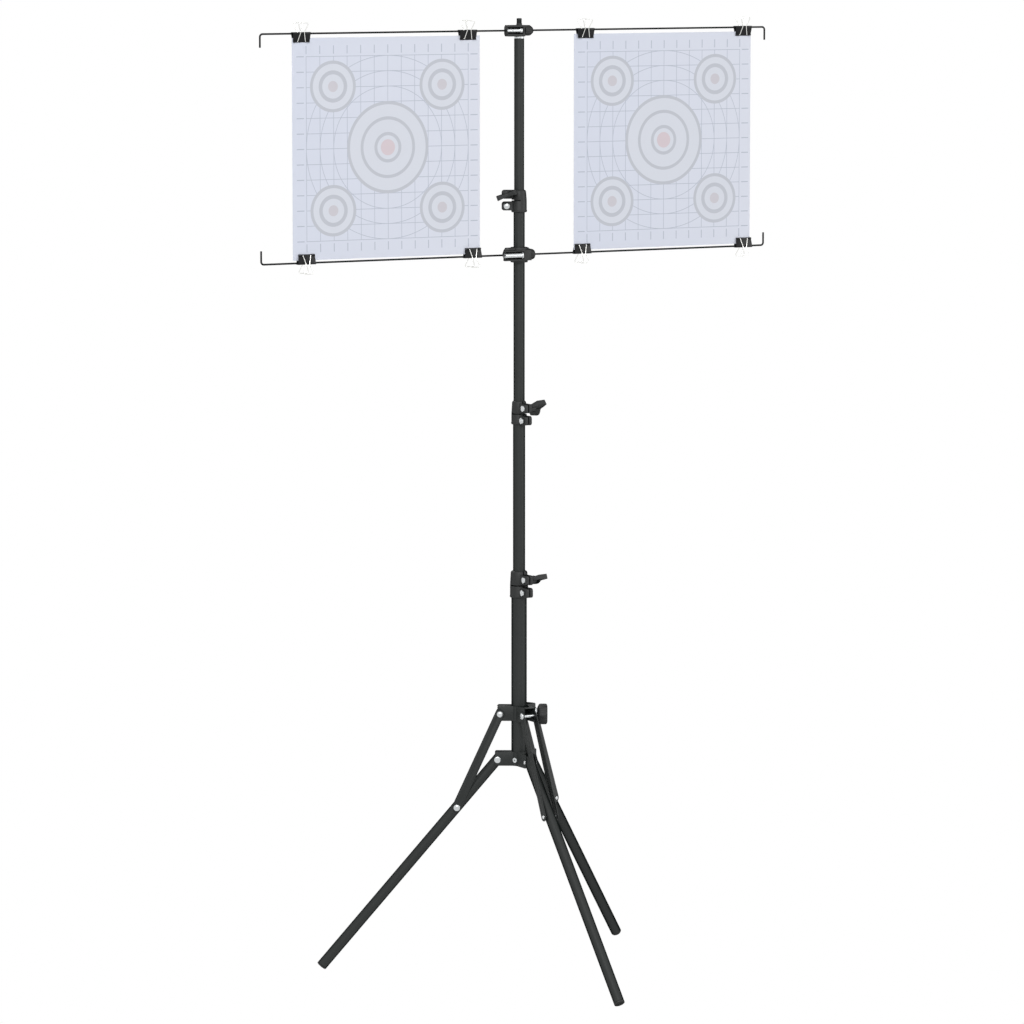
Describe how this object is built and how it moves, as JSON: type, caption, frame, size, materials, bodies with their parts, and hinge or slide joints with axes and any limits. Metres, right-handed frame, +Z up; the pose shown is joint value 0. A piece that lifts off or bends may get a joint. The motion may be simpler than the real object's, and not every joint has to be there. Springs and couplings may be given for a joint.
{
  "type": "target stand",
  "caption": "Telescopic tripod stand with two crossbars that hold printed paper targets side by side with spring binder clips.",
  "frame": {"origin": "middle of the outline's footprint, on the floor", "axes": "+Z up; +X along the crossbars to the right of a person who faces the targets; -Y towards that person"},
  "size_m": [0.9244, 0.4974, 1.5419],
  "materials": {
    "black_painted_steel": "satin black powder coat",
    "rod_steel": "satin black enamel",
    "black_plastic": "fine moulded texture",
    "clip_enamel": "semi-gloss black enamel",
    "nickel_wire": "bright nickel plate",
    "target_paper": "matt printed paper"
  },
  "bodies": {
    "base": {"section_1_tube": "black_painted_steel", "lower_spider": "black_painted_steel", "collar_1": "black_plastic"},
    "upper_spider_slide": {"upper_spider": "black_painted_steel"},
    "spider_screw": {"spider_thumb_screw": "black_plastic"},
    "mast_2": {"section_2_tube": "black_painted_steel", "section_2_guide_bush": "black_plastic", "collar_2": "black_plastic"},
    "bush_3": {"section_3_guide_bush": "black_plastic"},
    "mast_3": {"section_3_tube": "black_painted_steel", "collar_3": "black_plastic"},
    "lower_crossbar": {"lower_rod_clamp": "black_plastic", "bottom_left_rod": "rod_steel", "bottom_right_rod": "rod_steel", "clip_bottom_left_outer": "clip_enamel", "clip_bottom_left_inner": "clip_enamel", "clip_bottom_right_inner": "clip_enamel", "clip_bottom_right_outer": "clip_enamel"},
    "mast_4": {"section_4_tube": "black_painted_steel", "section_4_guide_bush": "black_plastic", "section_4_end_plug": "black_plastic", "top_rod_clamp": "black_plastic", "top_left_rod": "rod_steel", "top_right_rod": "rod_steel", "left_target_sheet": "target_paper", "right_target_sheet": "target_paper", "clip_top_left_outer": "clip_enamel", "clip_top_left_inner": "clip_enamel", "clip_top_right_inner": "clip_enamel", "clip_top_right_outer": "clip_enamel"},
    "top_knob": {"top_clamp_knob": "black_plastic"},
    "lower_knob": {"lower_clamp_knob": "black_plastic"},
    "wing_knob_1": {"collar_1_wing_knob": "black_plastic"},
    "wing_knob_2": {"collar_2_wing_knob": "black_plastic"},
    "wing_knob_3": {"collar_3_wing_knob": "black_plastic"},
    "front_leg_body": {"front_leg": "black_painted_steel", "front_foot_plug": "black_plastic"},
    "front_strut_body": {"front_strut": "black_painted_steel"},
    "right_rear_leg_body": {"right_rear_leg": "black_painted_steel", "right_rear_foot_plug": "black_plastic"},
    "right_rear_strut_body": {"right_rear_strut": "black_painted_steel"},
    "left_rear_leg_body": {"left_rear_leg": "black_painted_steel", "left_rear_foot_plug": "black_plastic"},
    "left_rear_strut_body": {"left_rear_strut": "black_painted_steel"},
    "top_left_outer_front_handle": {"clip_top_left_outer_front_handle": "nickel_wire"},
    "top_left_outer_rear_handle": {"clip_top_left_outer_rear_handle": "nickel_wire"},
    "top_left_inner_front_handle": {"clip_top_left_inner_front_handle": "nickel_wire"},
    "top_left_inner_rear_handle": {"clip_top_left_inner_rear_handle": "nickel_wire"},
    "top_right_inner_front_handle": {"clip_top_right_inner_front_handle": "nickel_wire"},
    "top_right_inner_rear_handle": {"clip_top_right_inner_rear_handle": "nickel_wire"},
    "top_right_outer_front_handle": {"clip_top_right_outer_front_handle": "nickel_wire"},
    "top_right_outer_rear_handle": {"clip_top_right_outer_rear_handle": "nickel_wire"},
    "bottom_left_outer_front_handle": {"clip_bottom_left_outer_front_handle": "nickel_wire"},
    "bottom_left_outer_rear_handle": {"clip_bottom_left_outer_rear_handle": "nickel_wire"},
    "bottom_left_inner_front_handle": {"clip_bottom_left_inner_front_handle": "nickel_wire"},
    "bottom_left_inner_rear_handle": {"clip_bottom_left_inner_rear_handle": "nickel_wire"},
    "bottom_right_inner_front_handle": {"clip_bottom_right_inner_front_handle": "nickel_wire"},
    "bottom_right_inner_rear_handle": {"clip_bottom_right_inner_rear_handle": "nickel_wire"},
    "bottom_right_outer_front_handle": {"clip_bottom_right_outer_front_handle": "nickel_wire"},
    "bottom_right_outer_rear_handle": {"clip_bottom_right_outer_rear_handle": "nickel_wire"}
  },
  "joints": [
    {"name": "section_2_height", "type": "slide", "parent": "base", "child": "mast_2", "axis": [0, 0, 1], "range_m": [-0.235, 0.02]},
    {"name": "section_3_height", "type": "slide", "parent": "mast_2", "child": "bush_3", "axis": [0, 0, 1], "range_m": [-0.145, 0.02]},
    {"name": "section_3_swivel", "type": "hinge", "parent": "bush_3", "child": "mast_3", "pos_m": [0, 0.07967, 0.90977], "axis": [0, 0, 1], "continuous": true},
    {"name": "section_4_height", "type": "slide", "parent": "mast_3", "child": "mast_4", "axis": [0, 0, 1], "range_m": [-0.065, 0.02]},
    {"name": "lower_crossbar_height", "type": "slide", "parent": "mast_3", "child": "lower_crossbar", "axis": [0, 0, 1], "range_m": [-0.065, 0.02]},
    {"name": "wing_knob_1_turn", "type": "hinge", "parent": "base", "child": "wing_knob_1", "pos_m": [0.00794, 0.05815, 0.64227], "axis": [0.9978, 0.0663, 0], "range_deg": [0, 360]},
    {"name": "wing_knob_2_turn", "type": "hinge", "parent": "mast_2", "child": "wing_knob_2", "pos_m": [0.00781, 0.06015, 0.91947], "axis": [0.9978, 0.0663, 0], "range_deg": [0, 360]},
    {"name": "wing_knob_3_turn", "type": "hinge", "parent": "mast_3", "child": "wing_knob_3", "pos_m": [-0.02044, 0.08373, 1.26187], "axis": [-0.4909, -0.8712, 0], "range_deg": [0, 360]},
    {"name": "top_clamp_knob_turn", "type": "hinge", "parent": "mast_4", "child": "top_knob", "pos_m": [0.008, 0.07967, 1.52247], "axis": [1, 0, 0], "range_deg": [0, 360]},
    {"name": "lower_clamp_knob_turn", "type": "hinge", "parent": "lower_crossbar", "child": "lower_knob", "pos_m": [0.014, 0.07967, 1.16527], "axis": [1, 0, 0], "range_deg": [0, 360]},
    {"name": "spider_screw_turn", "type": "hinge", "parent": "upper_spider_slide", "child": "spider_screw", "pos_m": [0.02598, 0.06467, 0.42147], "axis": [0.866, -0.5, 0], "range_deg": [0, 360]},
    {"name": "front_leg_fold", "type": "hinge", "parent": "base", "child": "front_leg_body", "pos_m": [0, 0.04487, 0.34757], "axis": [1, 0, 0], "range_deg": [0, 38.5]},
    {"name": "front_strut_pivot", "type": "hinge", "parent": "front_leg_body", "child": "front_strut_body", "pos_m": [0, -0.02101, 0.26905], "axis": [1, 0, 0], "range_deg": [-16.28, 0]},
    {"name": "right_rear_leg_fold", "type": "hinge", "parent": "base", "child": "right_rear_leg_body", "pos_m": [0.03014, 0.09707, 0.34757], "axis": [-0.5, 0.866, 0], "range_deg": [0, 38.5]},
    {"name": "right_rear_strut_pivot", "type": "hinge", "parent": "right_rear_leg_body", "child": "right_rear_strut_body", "pos_m": [0.0872, 0.13002, 0.26905], "axis": [-0.5, 0.866, 0], "range_deg": [-16.28, 0]},
    {"name": "left_rear_leg_fold", "type": "hinge", "parent": "base", "child": "left_rear_leg_body", "pos_m": [-0.03014, 0.09707, 0.34757], "axis": [-0.5, -0.866, 0], "range_deg": [0, 38.5]},
    {"name": "left_rear_strut_pivot", "type": "hinge", "parent": "left_rear_leg_body", "child": "left_rear_strut_body", "pos_m": [-0.0872, 0.13002, 0.26905], "axis": [-0.5, -0.866, 0], "range_deg": [-16.28, 0]},
    {"name": "upper_spider_slide", "type": "slide", "parent": "base", "child": "upper_spider_slide", "axis": [0, 0, 1], "range_m": [-0.009, 0]},
    {"name": "top_left_outer_front_handle_turn", "type": "hinge", "parent": "mast_4", "child": "top_left_outer_front_handle", "pos_m": [-0.3895, 0.07772, 1.51022], "axis": [1, 0, 0], "range_deg": [0, 165]},
    {"name": "top_left_outer_rear_handle_turn", "type": "hinge", "parent": "mast_4", "child": "top_left_outer_rear_handle", "pos_m": [-0.3895, 0.08162, 1.51022], "axis": [-1, 0, 0], "range_deg": [0, 165]},
    {"name": "top_left_inner_front_handle_turn", "type": "hinge", "parent": "mast_4", "child": "top_left_inner_front_handle", "pos_m": [-0.0939, 0.07772, 1.51022], "axis": [1, 0, 0], "range_deg": [0, 165]},
    {"name": "top_left_inner_rear_handle_turn", "type": "hinge", "parent": "mast_4", "child": "top_left_inner_rear_handle", "pos_m": [-0.0939, 0.08162, 1.51022], "axis": [-1, 0, 0], "range_deg": [0, 165]},
    {"name": "top_right_inner_front_handle_turn", "type": "hinge", "parent": "mast_4", "child": "top_right_inner_front_handle", "pos_m": [0.1216, 0.07772, 1.51022], "axis": [1, 0, 0], "range_deg": [0, 165]},
    {"name": "top_right_inner_rear_handle_turn", "type": "hinge", "parent": "mast_4", "child": "top_right_inner_rear_handle", "pos_m": [0.1216, 0.08162, 1.51022], "axis": [-1, 0, 0], "range_deg": [0, 165]},
    {"name": "top_right_outer_front_handle_turn", "type": "hinge", "parent": "mast_4", "child": "top_right_outer_front_handle", "pos_m": [0.419, 0.07772, 1.51022], "axis": [1, 0, 0], "range_deg": [0, 165]},
    {"name": "top_right_outer_rear_handle_turn", "type": "hinge", "parent": "mast_4", "child": "top_right_outer_rear_handle", "pos_m": [0.419, 0.08162, 1.51022], "axis": [-1, 0, 0], "range_deg": [0, 165]},
    {"name": "bottom_left_outer_front_handle_turn", "type": "hinge", "parent": "lower_crossbar", "child": "bottom_left_outer_front_handle", "pos_m": [-0.3822, 0.07772, 1.17752], "axis": [-1, 0, 0], "range_deg": [0, 165]},
    {"name": "bottom_left_outer_rear_handle_turn", "type": "hinge", "parent": "lower_crossbar", "child": "bottom_left_outer_rear_handle", "pos_m": [-0.3822, 0.08162, 1.17752], "axis": [1, 0, 0], "range_deg": [0, 165]},
    {"name": "bottom_left_inner_front_handle_turn", "type": "hinge", "parent": "lower_crossbar", "child": "bottom_left_inner_front_handle", "pos_m": [-0.0852, 0.07772, 1.17752], "axis": [-1, 0, 0], "range_deg": [0, 165]},
    {"name": "bottom_left_inner_rear_handle_turn", "type": "hinge", "parent": "lower_crossbar", "child": "bottom_left_inner_rear_handle", "pos_m": [-0.0852, 0.08162, 1.17752], "axis": [1, 0, 0], "range_deg": [0, 165]},
    {"name": "bottom_right_inner_front_handle_turn", "type": "hinge", "parent": "lower_crossbar", "child": "bottom_right_inner_front_handle", "pos_m": [0.1164, 0.07772, 1.17752], "axis": [-1, 0, 0], "range_deg": [0, 165]},
    {"name": "bottom_right_inner_rear_handle_turn", "type": "hinge", "parent": "lower_crossbar", "child": "bottom_right_inner_rear_handle", "pos_m": [0.1164, 0.08162, 1.17752], "axis": [1, 0, 0], "range_deg": [0, 165]},
    {"name": "bottom_right_outer_front_handle_turn", "type": "hinge", "parent": "lower_crossbar", "child": "bottom_right_outer_front_handle", "pos_m": [0.4219, 0.07772, 1.17752], "axis": [-1, 0, 0], "range_deg": [0, 165]},
    {"name": "bottom_right_outer_rear_handle_turn", "type": "hinge", "parent": "lower_crossbar", "child": "bottom_right_outer_rear_handle", "pos_m": [0.4219, 0.08162, 1.17752], "axis": [1, 0, 0], "range_deg": [0, 165]}
  ],
  "couplings": [
    {"joint": "lower_crossbar_height", "follows": "section_4_height", "ratio": 1},
    {"joint": "front_strut_pivot", "follows": "front_leg_fold", "ratio": -0.4226},
    {"joint": "right_rear_strut_pivot", "follows": "front_leg_fold", "ratio": -0.4226},
    {"joint": "right_rear_leg_fold", "follows": "front_leg_fold", "ratio": 1},
    {"joint": "left_rear_strut_pivot", "follows": "front_leg_fold", "ratio": -0.4226},
    {"joint": "left_rear_leg_fold", "follows": "front_leg_fold", "ratio": 1},
    {"joint": "upper_spider_slide", "follows": "front_leg_fold", "m_per_rad": -0.013248}
  ]
}
